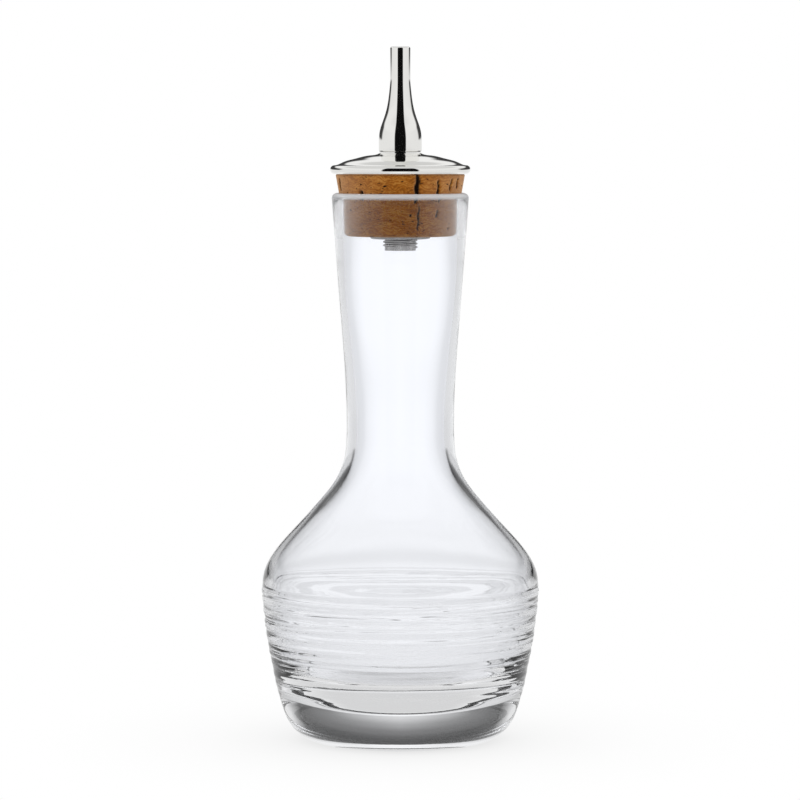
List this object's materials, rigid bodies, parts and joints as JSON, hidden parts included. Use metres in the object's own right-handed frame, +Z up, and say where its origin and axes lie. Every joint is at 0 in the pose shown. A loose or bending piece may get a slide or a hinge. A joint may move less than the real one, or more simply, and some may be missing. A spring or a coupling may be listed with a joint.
{
  "type": "bitters bottle",
  "caption": "Thick glass bitters bottle with a long neck and ringed body, closed by a tapered cork that carries a domed metal cap and a narrow metal dasher spout.",
  "frame": {"origin": "centre of the flat foot that the bottle stands on", "axes": "+Z up along the bottle's axis; the part is round about it, and the picture looks along +Y"},
  "size_m": [0.0634, 0.0634, 0.1582],
  "materials": {
    "glass": "clear, polished",
    "cork": null,
    "chrome": "mirror polished",
    "steel": "bright turned"
  },
  "bodies": {
    "bottle": {"bottle": "glass"},
    "stopper": {"cork": "cork", "cap": "chrome", "threaded_tube": "steel", "clamp_nut": "steel"},
    "spout": {"spout": "chrome"}
  },
  "joints": [
    {"name": "stopper_lift", "type": "slide", "parent": "bottle", "child": "stopper", "axis": [0, 0, 1], "range_m": [0, 0.04]},
    {"name": "spout_unscrew", "type": "slide", "parent": "stopper", "child": "spout", "axis": [0, 0, 1], "range_m": [0, 0.006]}
  ]
}
